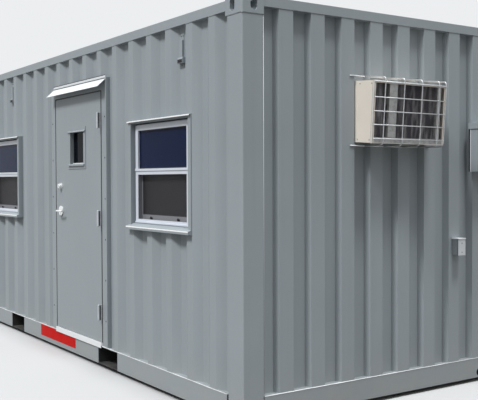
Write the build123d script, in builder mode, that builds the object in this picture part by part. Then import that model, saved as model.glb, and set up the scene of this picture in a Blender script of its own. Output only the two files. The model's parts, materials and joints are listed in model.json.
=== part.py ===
from build123d import *
import os

os.makedirs("parts", exist_ok=True)

# Container envelope, measured over the corner castings
length = 6058
width = 2438
height = 2591

# How far the fittings stand out past the container, which centres the frame
guard_reach = 199
cap_reach = 63

# Corner castings
casting_x = 178
casting_y = 162
casting_z = 118
casting_wall = 28.5
casting_back = 14
casting_round = 12
slot_sides = 12
roof_slot_length = 124
roof_slot_width = 63.5
face_slot_length = 79
face_slot_width = 51
slot_from_end = 101.5
slot_from_side = 89

# Posts and rails stand a little inside the castings
frame_inset = 3
post_side = 160
post_end = 155
post_plate = 6
post_round = 10
rail_bottom = 30
rail_top = 173
rail_plate = 4.5
rail_flange = 48
rail_lip = 30
sill_flange = 60
sill_hole = 54
sill_hole_from_side = 336
sill_hole_height = 68
top_tube = 60
top_tube_wall = 4
side_rail_drop = 28
header_drop = 9

# Corrugated sheets
sheet = 2
ridge_inset = 6
side_first_ridge = 305
side_ridge = 72
side_slope = 68
side_pitch = 278
side_depth = 36
end_first_ridge = 277
end_ridge = 110
end_slope = 18
end_pitch = 250
end_depth = 45

# Roof sheet with pressed ribs
roof_rib_pitch = 209
roof_rib_width = 118
roof_rib_rise = 18
roof_rib_margin = 110
roof_rib_taper = 34

# Floor and what carries it
floor_thickness = 28
cross_top = rail_top - floor_thickness
cross_bottom = rail_bottom + rail_plate
cross_flange = 45
cross_plate = 4
cross_pitch = 330

# Forklift pockets
pocket_width = 345
pocket_centres = (1874, 3914)
pocket_plate = 4
strap_plate = 6
strap_depth = 200
pocket_lintel = 5

# Insulated lining
lining = 50

# Doorway, with distances along the wall taken from the near end
leaf_near = 1979
leaf_width = 921
leaf_thickness = 45
leaf_bottom = 207
sheet_over_door = 219
door_gap = 5
latch_gap = 9
jamb_face = 95
stop_width = 20
head_face = 97
threshold_nose = 4
threshold_edge = 24

# Vision panel in the leaf
vision_near = 2309
vision_width = 271
vision_drop = 298
vision_height = 262
vision_trim = 42
vision_trim_rise = 4
vision_glass = 6
vision_glass_depth = 30
vision_hood = 10
vision_hood_edge = 4
vision_hood_height = 14
vision_lip = 10
vision_lip_fall = 6
vision_lip_height = 18
vision_lip_overhang = 24

# Hinges
hinge_height = 120
top_hinge_drop = 168
middle_hinge_rise = 1037
low_hinge_rise = 295
knuckle_radius = 8
knuckle_standoff = 30
pin_radius = 4
running_clearance = 0.3
knuckle_gap = 0.3
knuckle_count = 3
knuckle_sides = 12
hinge_plate = 2.2
hinge_plate_depth = 30
hinge_plate_relief = 2

# Lock
lock_near = 2790
lever_height = 1222
bolt_height = 1436
rose_radius = 42
rose_sides = 24
rose_depth = 10
neck_radius = 11
spindle_square = 8
lever_reach = 58
lever_length = 112
lever_thickness = 15
lever_hub = 12
lever_tip = 8
lever_sides = 12
bolt_radius = 25
bolt_depth = 28
bolt_taper = 12
bolt_sides = 16

# Drip cap over the door
cap_near = 1887
cap_width = 1055
cap_upstand = 16
cap_fold_drop = 12
cap_edge_drop = 76
cap_sheet = 2

# Windows
window_nears = (588, 3844)
window_width = 896
window_bottom = 1126
window_top = 1915
surround_face = 38
surround_head = 22
surround_proud = 2
sill_nose = 21
sill_rise = 46
sill_reach = 24
drip_height = 9
drip_edge = 4
drip_reach = 12
reveal = 28
track_side = 24
track_head = 12
track_depth = 24
window_member = 38
window_foot = 30
upper_pane_depth = 15
sash_setback = 36
sash_depth = 26
sash_stile = 12
sash_foot = 33
meeting_rail_bottom = 1524
meeting_rail_top = 1566
window_glass = 5
sash_pane_depth = 14
screen_sheet = 2

# Air conditioner on the near end, with distances taken from the door side
cooler_side = 896
cooler_width = 652
cooler_middle = 1924
cooler_height = 396
cooler_reach = 161
cooler_inside = 57
cooler_tilt = 4
cooler_sheet = 3
cooler_bezel = 14
coil_recess = 26
coil_depth = 60
fin_pitch = 16
fin_groove = 8
fin_groove_depth = 8
pan_height = 34
columns = ((138, 69), (577, 34))

# Guard cage in front of the air conditioner
guard_rod = 8
guard_rod_sides = 6
guard_side = 885
guard_width = 643
guard_rod_offsets = (87, 256, 418, 578)
guard_rows = (1742, 1830, 1916, 2004, 2102)
guard_front_top = 2134
guard_wall_top = 2155
guard_bottom = 1703
guard_lean = 31
guard_bend = 22
guard_overhang = 40

# Boxes on the near end
junction_side = 1811
junction_width = 67
junction_bottom = 945
junction_height = 118
junction_depth = 62
junction_round = 4
panel_from_back = 172
panel_width = 280
panel_bottom = 1538
panel_height = 350
panel_depth = 120
panel_hood = 44
panel_hood_lip = 6

# Ventilators in the side walls
vent_recesses = (1, 13)
vent_drop = 88
vent_width = 41
vent_height = 122
vent_depth = 17
vent_shoulder = 5
vent_tab_sheet = 4
vent_top_tab = 40
vent_foot_tab = 27
vent_mouth_width = 66
vent_mouth_height = 35
vent_mouth_depth = 24
vent_mouth_opening = 22
vent_mouth_wall = 3

# Plain red plate on the bottom rail
plate_near = 2500
plate_width = 790
plate_bottom = 70
plate_height = 98
plate_thickness = 2

# Faces and planes of the container in its own frame
centre_x = -guard_reach / 2
centre_y = cap_reach / 2
near_face = centre_x + length / 2
far_face = centre_x - length / 2
door_face = centre_y - width / 2
back_face = centre_y + width / 2
mid_length = Plane(origin=(centre_x, centre_y, 0), x_dir=(0, 1, 0), z_dir=(1, 0, 0))
mid_width = Plane(origin=(centre_x, centre_y, 0), x_dir=(1, 0, 0), z_dir=(0, 1, 0))
mid_height = Plane.XY.offset(height / 2)

# Depths behind the outer faces
side_back = ridge_inset + side_depth + sheet
end_back = ridge_inset + end_depth + sheet
side_inner = side_back + lining
end_inner = end_back + lining
side_rail_top = height - side_rail_drop
side_rail_bottom = side_rail_top - top_tube
header_top = height - header_drop
header_bottom = header_top - top_tube
ceiling_top = height - casting_z
ceiling_bottom = ceiling_top - lining

# Doorway edges
leaf_far = leaf_near + leaf_width
head_top = side_rail_bottom - sheet_over_door
head_bottom = head_top - head_face
leaf_top = head_bottom - door_gap
rabbet_near = leaf_near - door_gap
rabbet_far = leaf_far + latch_gap
jamb_near = rabbet_near - jamb_face
jamb_far = rabbet_far + jamb_face
stop_depth = ridge_inset + leaf_thickness + door_gap
threshold_top = leaf_bottom - door_gap


def along(distance):
    """The x of a point that far from the near end."""
    return near_face - distance


def across(distance):
    """The y of a point that far from the door side."""
    return door_face + distance


def block(x_pair, y_pair, z_pair, mode=Mode.ADD):
    """A box between pairs of coordinates, given in either order."""
    pairs = (x_pair, y_pair, z_pair)
    with Locations(tuple((a + b) / 2 for a, b in pairs)):
        Box(*(abs(b - a) for a, b in pairs), mode=mode)


def wall_block(u_pair, v_pair, z_pair, mode=Mode.ADD):
    """A box by its distances from the near end and from the door side."""
    block([along(u) for u in u_pair], [across(v) for v in v_pair], z_pair, mode)


def write(part, name):
    """Label a finished piece and write its file."""
    part.label = name
    export_step(part, f"parts/{name}.step")


def save(builder, name):
    """Write the piece that a builder has finished."""
    write(builder.part, name)


def bar_along(outline, u_pair):
    """A bar with that section, as depths and heights, between two distances from the near end."""
    with BuildSketch(Plane.YZ.offset(along(max(u_pair)))) as section:
        with BuildLine():
            Polyline(*[(across(v), z) for v, z in outline], close=True)
        make_face()
    extrude(section.sketch, amount=max(u_pair) - min(u_pair))


def slot(size_x, size_y):
    """A slot in the current sketch, whose round ends have few sides."""
    narrow = min(size_x, size_y)
    reach_x = (size_x - narrow) / 2
    reach_y = (size_y - narrow) / 2
    with Locations((-reach_x, -reach_y), (reach_x, reach_y)):
        RegularPolygon(narrow / 2, slot_sides, major_radius=False, rotation=180 / slot_sides)
    make_hull()


def wave_outline(start, end, first, ridge, slope, pitch, depth, last):
    """The folded line of a corrugated sheet: distance along the wall and depth behind the ridges."""
    count = int((last - slope - ridge - first) // pitch) + 1
    corners = []
    for k in range(count):
        foot = first + k * pitch
        corners += [(foot - slope, depth), (foot, 0), (foot + ridge, 0), (foot + ridge + slope, depth)]

    def depth_at(u):
        for (u0, d0), (u1, d1) in zip(corners, corners[1:]):
            if u0 <= u <= u1:
                return d0 + (d1 - d0) * (u - u0) / (u1 - u0)
        return depth

    inside = [corner for corner in corners if start < corner[0] < end]
    return [(start, depth_at(start)), *inside, (end, depth_at(end))]


def side_wave(start, end):
    """The fold line of a side wall, as points from the near end and from the outer face."""
    last = length - post_side
    line = wave_outline(start, end, side_first_ridge, side_ridge, side_slope, side_pitch, side_depth, last)
    return [(u, ridge_inset + v) for u, v in line]


def end_wave(start, end):
    """The fold line of an end wall, as points from the door side and from the outer face."""
    last = width - post_end
    line = wave_outline(start, end, end_first_ridge, end_ridge, end_slope, end_pitch, end_depth, last)
    return [(u, ridge_inset + v) for u, v in line]


def folded_sheet(line, place, bottom, top):
    """A corrugated sheet that stands on the plane at bottom, inside the current part."""
    outer = [place(u, v) for u, v in line]
    inner = [place(u, v + sheet) for u, v in reversed(line)]
    with BuildSketch(Plane.XY.offset(bottom)) as section:
        with BuildLine():
            Polyline(*outer, *inner, close=True)
        make_face()
    extrude(section.sketch, amount=top - bottom)


def clear_castings(spans, depths):
    """Cut the current sheet clear of the top castings that it meets."""
    for u_pair, v_pair in ((u, v) for u in spans for v in depths):
        wall_block(u_pair, v_pair, (height - casting_z, height), Mode.SUBTRACT)


def door_side(u, v):
    return (along(u), door_face + v)


def back_side(u, v):
    return (along(u), back_face - v)


def near_end(u, v):
    return (near_face - v, across(u))


def far_end(u, v):
    return (far_face + v, across(u))


# Corner casting at the bottom of the near door-side corner, with its cavity and three apertures
with BuildPart() as casting:
    block((near_face, near_face - casting_x), (door_face, door_face + casting_y), (0, casting_z))
    corner = casting.edges().filter_by(Axis.Z).group_by(Axis.X)[-1].sort_by(Axis.Y)[0]
    fillet(corner, casting_round)
    block(
        (near_face - casting_wall, near_face - casting_x + casting_back),
        (door_face + casting_wall, door_face + casting_y - casting_back),
        (casting_wall, casting_z - casting_back),
        Mode.SUBTRACT,
    )
    with BuildSketch(Plane.XY):
        with Locations((near_face - slot_from_end, door_face + slot_from_side)):
            slot(roof_slot_length, roof_slot_width)
    extrude(amount=casting_wall, mode=Mode.SUBTRACT)
    with BuildSketch(Plane.XZ.offset(-door_face)):
        with Locations((near_face - slot_from_end, casting_z / 2)):
            slot(face_slot_width, face_slot_length)
    extrude(amount=-casting_wall, mode=Mode.SUBTRACT)
    with BuildSketch(Plane.YZ.offset(near_face)):
        with Locations((door_face + slot_from_side, casting_z / 2)):
            slot(face_slot_width, face_slot_length)
    extrude(amount=-casting_wall, mode=Mode.SUBTRACT)

with BuildPart() as bottom_corner_castings:
    add(casting.part)
    mirror(about=mid_length)
    mirror(about=mid_width)
save(bottom_corner_castings, "bottom_corner_castings")

with BuildPart() as top_corner_castings:
    mirror(casting.part, about=mid_height)
    mirror(about=mid_length)
    mirror(about=mid_width)
save(top_corner_castings, "top_corner_castings")

# Corner posts: folded plates whose lips run back to the wall sheets
post_outline = [
    (post_side, side_back),
    (post_side, frame_inset),
    (frame_inset, frame_inset),
    (frame_inset, post_end),
    (end_back, post_end),
    (end_back, post_end - post_plate),
    (frame_inset + post_plate, post_end - post_plate),
    (frame_inset + post_plate, frame_inset + post_plate),
    (post_side - post_plate, frame_inset + post_plate),
    (post_side - post_plate, side_back),
]
with BuildPart() as corner_posts:
    with BuildSketch(Plane.XY.offset(casting_z)) as post_section:
        with BuildLine():
            Polyline(*[(along(a), across(b)) for a, b in post_outline], close=True)
        make_face()
        outer_corner = post_section.vertices().sort_by_distance((near_face, door_face, casting_z))[0]
        fillet(outer_corner, post_round)
    extrude(amount=height - 2 * casting_z)
    mirror(about=mid_length)
    mirror(about=mid_width)
save(corner_posts, "corner_posts")

# Bottom side rails: channels with the forklift pockets cut out below the top flange
rail_outline = [
    (frame_inset, rail_top),
    (frame_inset + rail_flange, rail_top),
    (frame_inset + rail_flange, rail_top - rail_plate),
    (frame_inset + rail_plate, rail_top - rail_plate),
    (frame_inset + rail_plate, rail_bottom + rail_plate),
    (frame_inset + rail_lip, rail_bottom + rail_plate),
    (frame_inset + rail_lip, rail_bottom),
    (frame_inset, rail_bottom),
]
pocket_edges = [(c - pocket_width / 2, c + pocket_width / 2) for c in pocket_centres]
with BuildPart() as bottom_side_rails:
    with BuildSketch(Plane.YZ.offset(far_face + casting_x)):
        with BuildLine():
            Polyline(*[(across(v), z) for v, z in rail_outline], close=True)
        make_face()
    extrude(amount=length - 2 * casting_x)
    for edges in pocket_edges:
        wall_block(edges, (0, rail_flange + 2 * frame_inset), (0, rail_top - pocket_lintel), Mode.SUBTRACT)
    mirror(about=mid_width)
save(bottom_side_rails, "bottom_side_rails")

# End sills: channels between the castings, with a round hole near each corner
sill_outline = [
    (frame_inset, rail_top),
    (frame_inset + sill_flange, rail_top),
    (frame_inset + sill_flange, rail_top - rail_plate),
    (frame_inset + rail_plate, rail_top - rail_plate),
    (frame_inset + rail_plate, rail_bottom + rail_plate),
    (frame_inset + sill_flange, rail_bottom + rail_plate),
    (frame_inset + sill_flange, rail_bottom),
    (frame_inset, rail_bottom),
]
with BuildPart() as end_sills:
    with BuildSketch(Plane.XZ.offset(-(back_face - casting_y))):
        with BuildLine():
            Polyline(*[(along(u), z) for u, z in sill_outline], close=True)
        make_face()
    extrude(amount=width - 2 * casting_y)
    with BuildSketch(Plane.YZ.offset(near_face)):
        with Locations(
            (across(sill_hole_from_side), sill_hole_height),
            (across(width - sill_hole_from_side), sill_hole_height),
        ):
            Circle(sill_hole / 2)
    extrude(amount=-frame_inset - rail_plate, mode=Mode.SUBTRACT)
    mirror(about=mid_length)
save(end_sills, "end_sills")

# Cross members: channels under the floor, spread evenly over each bay beside the pockets
def evenly(start, end):
    count = max(1, round((end - start) / cross_pitch) - 1)
    return [start + (end - start) * (k + 1) / (count + 1) for k in range(count)]


bay_stops = [frame_inset + sill_flange]
for near_edge, far_edge in pocket_edges:
    bay_stops += [near_edge, far_edge]
bay_stops.append(length - frame_inset - sill_flange)
cross_places = [u for a, b in zip(bay_stops[::2], bay_stops[1::2]) for u in evenly(a, b)]
cross_outline = [
    (0, cross_top),
    (cross_flange, cross_top),
    (cross_flange, cross_top - cross_plate),
    (cross_plate, cross_top - cross_plate),
    (cross_plate, cross_bottom + cross_plate),
    (cross_flange, cross_bottom + cross_plate),
    (cross_flange, cross_bottom),
    (0, cross_bottom),
]
cross_span = width - 2 * (frame_inset + rail_plate)
with BuildPart() as cross_members:
    for place in cross_places:
        with BuildSketch(Plane.XZ.offset(-(back_face - frame_inset - rail_plate))):
            with BuildLine():
                Polyline(*[(along(place) + u, z) for u, z in cross_outline], close=True)
            make_face()
        extrude(amount=cross_span)
save(cross_members, "cross_members")

# Forklift pockets: side plates, a top plate under the floor and a strap at each mouth
inner_web = frame_inset + rail_plate
with BuildPart() as forklift_pocket_sides:
    for near_edge, far_edge in pocket_edges:
        for edge, outward in ((near_edge, -1), (far_edge, 1)):
            wall_block(
                (edge, edge + outward * pocket_plate),
                (inner_web, width - inner_web),
                (rail_bottom + rail_plate, cross_top),
            )
save(forklift_pocket_sides, "forklift_pocket_sides")

with BuildPart() as forklift_pocket_plates:
    for edges in pocket_edges:
        wall_block(edges, (frame_inset + rail_flange, width - frame_inset - rail_flange),
                   (cross_top - pocket_plate, cross_top))
        wall_block(edges, (frame_inset, frame_inset + strap_depth), (rail_bottom, rail_bottom + strap_plate))
    mirror(about=mid_width)
save(forklift_pocket_plates, "forklift_pocket_plates")

# Top side rails and end headers: square tubes between the castings
with BuildPart() as top_side_rails:
    with BuildSketch(Plane.YZ.offset(far_face + casting_x)):
        with Locations((across(frame_inset + top_tube / 2), side_rail_top - top_tube / 2)):
            Rectangle(top_tube, top_tube)
            Rectangle(top_tube - 2 * top_tube_wall, top_tube - 2 * top_tube_wall, mode=Mode.SUBTRACT)
    extrude(amount=length - 2 * casting_x)
    mirror(about=mid_width)
save(top_side_rails, "top_side_rails")

with BuildPart() as end_headers:
    with BuildSketch(Plane.XZ.offset(-(back_face - casting_y))):
        with Locations((along(frame_inset + top_tube / 2), header_top - top_tube / 2)):
            Rectangle(top_tube, top_tube)
            Rectangle(top_tube - 2 * top_tube_wall, top_tube - 2 * top_tube_wall, mode=Mode.SUBTRACT)
    extrude(amount=width - 2 * casting_y)
    mirror(about=mid_length)
save(end_headers, "end_headers")

# Where the castings stand, from the near end and from the door side
near_span = (0, casting_x)
far_span = (length - casting_x, length)
door_depth = (0, casting_y)
back_depth = (width - casting_y, width)

# Roof sheet between the headers, with ribs pressed upward across it
header_inner = frame_inset + top_tube
roof_length = length - 2 * header_inner
rib_count = int((roof_length - roof_rib_width) // roof_rib_pitch)
rib_length = width - 2 * frame_inset - 2 * roof_rib_margin
with BuildPart() as roof_panel:
    wall_block((header_inner, length - header_inner), (frame_inset, width - frame_inset),
               (side_rail_top, side_rail_top + sheet))
    clear_castings([near_span, far_span], [door_depth, back_depth])
    with BuildSketch(Plane.XY.offset(side_rail_top + sheet)):
        with Locations((centre_x, centre_y)):
            with GridLocations(roof_rib_pitch, 1, rib_count, 1):
                Rectangle(roof_rib_width, rib_length)
    extrude(amount=roof_rib_rise, taper=roof_rib_taper)
    with BuildSketch(Plane.XY.offset(side_rail_top)):
        with Locations((centre_x, centre_y)):
            with GridLocations(roof_rib_pitch, 1, rib_count, 1):
                Rectangle(roof_rib_width, rib_length)
    extrude(amount=roof_rib_rise, taper=roof_rib_taper, mode=Mode.SUBTRACT)
save(roof_panel, "roof_panel")

# Corrugated walls, cut for the doorway, the windows and the air conditioner
window_edges = [(near, near + window_width) for near in window_nears]
cooler_edges = (cooler_side, cooler_side + cooler_width)
cooler_bottom = cooler_middle - cooler_height / 2
cooler_top = cooler_middle + cooler_height / 2
case_front = -cooler_reach
case_back = end_inner + cooler_inside
drain_axis = Axis((near_face, 0, cooler_middle), (0, 1, 0))


def tilted(part):
    """A level piece of the air conditioner, turned so that it drains outward."""
    return part.rotate(drain_axis, cooler_tilt)


with BuildPart() as cooler_space:
    wall_block((case_front, case_back), cooler_edges, (cooler_bottom, cooler_top))

with BuildPart() as front_wall_right:
    folded_sheet(side_wave(post_side, jamb_near), door_side, rail_top, side_rail_bottom)
    clear_castings([near_span], [door_depth])
    wall_block(window_edges[0], (0, side_inner), (window_bottom, window_top), Mode.SUBTRACT)
save(front_wall_right, "front_wall_right")

with BuildPart() as front_wall_left:
    folded_sheet(side_wave(jamb_far, length - post_side), door_side, rail_top, side_rail_bottom)
    clear_castings([far_span], [door_depth])
    wall_block(window_edges[1], (0, side_inner), (window_bottom, window_top), Mode.SUBTRACT)
save(front_wall_left, "front_wall_left")

with BuildPart() as front_wall_over_door:
    folded_sheet(side_wave(jamb_near, jamb_far), door_side, head_top, side_rail_bottom)
save(front_wall_over_door, "front_wall_over_door")

with BuildPart() as back_wall:
    folded_sheet(side_wave(post_side, length - post_side), back_side, rail_top, side_rail_bottom)
    clear_castings([near_span, far_span], [back_depth])
save(back_wall, "back_wall")

with BuildPart() as near_end_wall:
    folded_sheet(end_wave(post_end, width - post_end), near_end, rail_top, header_bottom)
    clear_castings([near_span], [door_depth, back_depth])
    add(tilted(cooler_space.part), mode=Mode.SUBTRACT)
save(near_end_wall, "near_end_wall")

with BuildPart() as far_end_wall:
    folded_sheet(end_wave(post_end, width - post_end), far_end, rail_top, header_bottom)
    clear_castings([far_span], [door_depth, back_depth])
save(far_end_wall, "far_end_wall")

# Plywood floor on the cross members, between the flanges of the rails and sills
with BuildPart() as plywood_floor:
    wall_block(
        (frame_inset + sill_flange, length - frame_inset - sill_flange),
        (frame_inset + rail_flange, width - frame_inset - rail_flange),
        (cross_top, rail_top),
    )
save(plywood_floor, "plywood_floor")

# Insulated lining of the walls and ceiling
with BuildPart() as front_lining_right:
    wall_block((end_back, jamb_near), (side_back, side_inner), (rail_top, ceiling_top))
    wall_block(window_edges[0], (side_back, side_inner), (window_bottom, window_top), Mode.SUBTRACT)
save(front_lining_right, "front_lining_right")

with BuildPart() as front_lining_left:
    wall_block((jamb_far, length - end_back), (side_back, side_inner), (rail_top, ceiling_top))
    wall_block(window_edges[1], (side_back, side_inner), (window_bottom, window_top), Mode.SUBTRACT)
save(front_lining_left, "front_lining_left")

with BuildPart() as front_lining_over_door:
    wall_block((jamb_near, jamb_far), (side_back, side_inner), (head_top, ceiling_top))
save(front_lining_over_door, "front_lining_over_door")

with BuildPart() as back_lining:
    wall_block((end_back, length - end_back), (width - side_inner, width - side_back),
               (rail_top, ceiling_top))
save(back_lining, "back_lining")

with BuildPart() as near_end_lining:
    wall_block((end_back, end_inner), (side_inner, width - side_inner), (rail_top, ceiling_top))
    add(tilted(cooler_space.part), mode=Mode.SUBTRACT)
save(near_end_lining, "near_end_lining")

with BuildPart() as far_end_lining:
    wall_block((length - end_inner, length - end_back), (side_inner, width - side_inner),
               (rail_top, ceiling_top))
save(far_end_lining, "far_end_lining")

with BuildPart() as ceiling_lining:
    wall_block((end_inner, length - end_inner), (side_inner, width - side_inner),
               (ceiling_bottom, ceiling_top))
save(ceiling_lining, "ceiling_lining")

# Door frame: rebated jambs and head, standing on the bottom rail
with BuildPart() as door_jambs:
    wall_block((jamb_near, rabbet_near), (ridge_inset, side_inner), (rail_top, head_bottom))
    wall_block((rabbet_near, rabbet_near + stop_width), (stop_depth, side_inner), (rail_top, head_bottom))
    wall_block((rabbet_far, jamb_far), (ridge_inset, side_inner), (rail_top, head_bottom))
    wall_block((rabbet_far - stop_width, rabbet_far), (stop_depth, side_inner), (rail_top, head_bottom))
save(door_jambs, "door_jambs")

with BuildPart() as door_head:
    wall_block((jamb_near, jamb_far), (ridge_inset, side_inner), (head_bottom, head_top))
    wall_block((rabbet_near + stop_width, rabbet_far - stop_width), (stop_depth, side_inner),
               (head_bottom - stop_width, head_bottom))
save(door_head, "door_head")

# Threshold with a nosing that hangs over the bottom rail
threshold_outline = [
    (ridge_inset, rail_top),
    (side_inner, rail_top),
    (side_inner, threshold_top - door_gap),
    (ridge_inset + leaf_thickness, threshold_top),
    (-threshold_nose, threshold_top),
    (-threshold_nose, threshold_top - threshold_edge),
    (ridge_inset, threshold_top - threshold_edge),
]
with BuildPart() as door_threshold:
    bar_along(threshold_outline, (rabbet_near, rabbet_far))
    for u_pair in ((rabbet_near, rabbet_near + stop_width), (rabbet_far - stop_width, rabbet_far)):
        wall_block(u_pair, (stop_depth, side_inner), (rail_top, threshold_top), Mode.SUBTRACT)
save(door_threshold, "door_threshold")

# Drip cap: a folded sheet with an upstand on the wall and a sloping face
cap_upstand_top = head_top + cap_upstand
cap_fold = head_top - cap_fold_drop
cap_edge = head_top - cap_edge_drop
cap_outline = [
    (ridge_inset, cap_upstand_top),
    (ridge_inset - cap_sheet, cap_upstand_top),
    (ridge_inset - cap_sheet, cap_fold),
    (-cap_reach, cap_edge + cap_sheet),
    (-cap_reach, cap_edge),
    (ridge_inset - cap_sheet, cap_fold - 2 * cap_sheet),
    (ridge_inset, cap_fold - 2 * cap_sheet),
]
with BuildPart() as door_drip_cap:
    bar_along(cap_outline, (cap_near, cap_near + cap_width))
save(door_drip_cap, "door_drip_cap")

# Door leaf with its vision opening and the holes of the lock
leaf_front = ridge_inset
leaf_back = ridge_inset + leaf_thickness
vision_far = vision_near + vision_width
vision_top = leaf_top - vision_drop
vision_bottom = vision_top - vision_height
lock_x = along(lock_near)
spindle_bore = spindle_square * 2 ** 0.5 + 2 * running_clearance
with BuildPart() as door_leaf:
    wall_block((leaf_near, leaf_far), (leaf_front, leaf_back), (leaf_bottom, leaf_top))
    wall_block((vision_near, vision_far), (leaf_front, leaf_back), (vision_bottom, vision_top), Mode.SUBTRACT)
    with BuildSketch(Plane.XZ.offset(-across(leaf_front))):
        with Locations((lock_x, lever_height)):
            Circle(spindle_bore / 2)
    extrude(amount=-leaf_thickness, mode=Mode.SUBTRACT)
save(door_leaf, "door_leaf")

# Vision trim: a flat ring on each face of the leaf, with a hood and a sloping lip outside
trim_front = leaf_front - vision_trim_rise
hood_outline = [
    (trim_front, vision_top),
    (trim_front - vision_hood, vision_top),
    (trim_front - vision_hood, vision_top + vision_hood_edge),
    (trim_front, vision_top + vision_hood_height),
]
lip_outline = [
    (trim_front, vision_bottom),
    (trim_front - vision_lip, vision_bottom - vision_lip_fall),
    (trim_front - vision_lip, vision_bottom - vision_lip_height),
    (trim_front, vision_bottom - vision_lip_height),
]
with BuildPart() as door_vision_trim:
    for face, outward in ((leaf_front, -1), (leaf_back, 1)):
        faces = (face, face + outward * vision_trim_rise)
        wall_block((vision_near - vision_trim, vision_far + vision_trim), faces,
                   (vision_bottom - vision_trim, vision_top + vision_trim))
        wall_block((vision_near, vision_far), faces, (vision_bottom, vision_top), Mode.SUBTRACT)
    bar_along(hood_outline, (vision_near - vision_trim, vision_far + vision_trim))
    bar_along(lip_outline, (vision_near - vision_lip_overhang, vision_far + vision_lip_overhang))
save(door_vision_trim, "door_vision_trim")

vision_glass_front = leaf_front + vision_glass_depth
with BuildPart() as door_vision_glass:
    wall_block((vision_near, vision_far), (vision_glass_front, vision_glass_front + vision_glass),
               (vision_bottom, vision_top))
save(door_vision_glass, "door_vision_glass")

# Projecting hinges: knuckles on a pin in front of the gap, with plates that run back beside the leaf
hinge_axis_u = leaf_near - door_gap / 2
hinge_axis_v = leaf_front - knuckle_standoff
knuckle_height = hinge_height / knuckle_count
hinge_tops = (leaf_top - top_hinge_drop, leaf_bottom + middle_hinge_rise, leaf_bottom + low_hinge_rise)
hinge_plate_back = leaf_front + hinge_plate_depth
leaf_knuckles = range(1, knuckle_count, 2)
frame_knuckles = range(0, knuckle_count, 2)


def knuckle(bottom, bore):
    """One barrel of a hinge, bored for its pin."""
    with BuildSketch(Plane.XY.offset(bottom)) as section:
        with Locations((along(hinge_axis_u), across(hinge_axis_v))):
            RegularPolygon(knuckle_radius, knuckle_sides)
            if bore:
                Circle(bore, mode=Mode.SUBTRACT)
    extrude(section.sketch, amount=knuckle_height - knuckle_gap)


def relieve_plate(u_pair, bottom, knuckles):
    """Cut a hinge plate clear of the other leaf's knuckles."""
    for k in knuckles:
        foot = bottom + k * knuckle_height
        reach = (foot - knuckle_gap, foot + knuckle_height)
        wall_block(u_pair, (hinge_axis_v, hinge_axis_v + knuckle_radius + knuckle_gap), reach, Mode.SUBTRACT)


with BuildPart() as door_hinge_leaves:
    for top in hinge_tops:
        bottom = top - hinge_height
        plate = (leaf_near - hinge_plate, leaf_near)
        wall_block(plate, (hinge_axis_v + pin_radius + hinge_plate_relief, hinge_plate_back), (bottom, top))
        relieve_plate(plate, bottom, frame_knuckles)
        for k in leaf_knuckles:
            knuckle(bottom + k * knuckle_height, pin_radius + running_clearance)
save(door_hinge_leaves, "door_hinge_leaves")

with BuildPart() as door_hinge_frame_leaves:
    for top in hinge_tops:
        bottom = top - hinge_height
        plate = (rabbet_near, rabbet_near + hinge_plate)
        wall_block(plate, (hinge_axis_v + pin_radius, hinge_plate_back), (bottom, top))
        relieve_plate(plate, bottom, leaf_knuckles)
        for k in frame_knuckles:
            knuckle(bottom + k * knuckle_height, 0)
        with BuildSketch(Plane.XY.offset(bottom)):
            with Locations((along(hinge_axis_u), across(hinge_axis_v))):
                Circle(pin_radius)
        extrude(amount=hinge_height - knuckle_gap)
save(door_hinge_frame_leaves, "door_hinge_frame_leaves")

# Lock: a round rose with a bore for the lever's neck, and the deadbolt's cylinder, on both faces
with BuildPart() as door_lock_roses:
    for face, outward in ((leaf_front, 1), (leaf_back, -1)):
        with BuildSketch(Plane.XZ.offset(-across(face))):
            with Locations((lock_x, lever_height)):
                RegularPolygon(rose_radius, rose_sides)
                RegularPolygon(neck_radius + running_clearance, rose_sides, major_radius=False,
                               mode=Mode.SUBTRACT)
        extrude(amount=outward * rose_depth)
        with BuildSketch(Plane.XZ.offset(-across(face))):
            with Locations((lock_x, bolt_height)):
                RegularPolygon(bolt_radius, bolt_sides)
        extrude(amount=outward * bolt_depth, taper=bolt_taper)
save(door_lock_roses, "door_lock_roses")

with BuildPart() as door_lever:
    with BuildSketch(Plane.XZ.offset(-across(leaf_front - running_clearance))):
        with Locations((lock_x, lever_height)):
            Rectangle(spindle_square, spindle_square)
    extrude(amount=-leaf_thickness - 2 * running_clearance)
    for face, outward in ((leaf_front, -1), (leaf_back, 1)):
        with BuildSketch(Plane.XZ.offset(-across(face + outward * running_clearance))):
            with Locations((lock_x, lever_height)):
                Circle(neck_radius)
        extrude(amount=-outward * (lever_reach - running_clearance))
        with BuildSketch(Plane.XZ.offset(-across(face + outward * (lever_reach - lever_thickness)))):
            with Locations((lock_x, lever_height)):
                RegularPolygon(lever_hub, lever_sides)
            with Locations((lock_x + lever_length - lever_tip, lever_height)):
                RegularPolygon(lever_tip, lever_sides)
            make_hull()
        extrude(amount=-outward * lever_thickness)
save(door_lever, "door_lever")

# Windows: steel surround with a drip edge and a sloping sill
surround_front = -surround_proud
frame_front = surround_front + reveal
sill_top = window_bottom + sill_rise
sill_front = surround_front - sill_reach
sill_outline = [
    (sill_front, window_bottom),
    (sill_front, window_bottom + sill_nose),
    (frame_front, sill_top),
    (side_inner, sill_top),
    (side_inner, window_bottom),
]
drip_outline = [
    (surround_front, window_top),
    (surround_front - drip_reach, window_top - drip_height + drip_edge),
    (surround_front - drip_reach, window_top - drip_height),
    (surround_front, window_top - drip_height),
]
with BuildPart() as window_surrounds:
    for near, far in window_edges:
        for side_bar in ((near, near + surround_face), (far - surround_face, far)):
            wall_block(side_bar, (surround_front, side_inner), (window_bottom, window_top))
        wall_block((near, far), (surround_front, side_inner), (window_top - surround_head, window_top))
        bar_along(sill_outline, (near, far))
        bar_along(drip_outline, (near, far))
save(window_surrounds, "window_surrounds")

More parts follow.
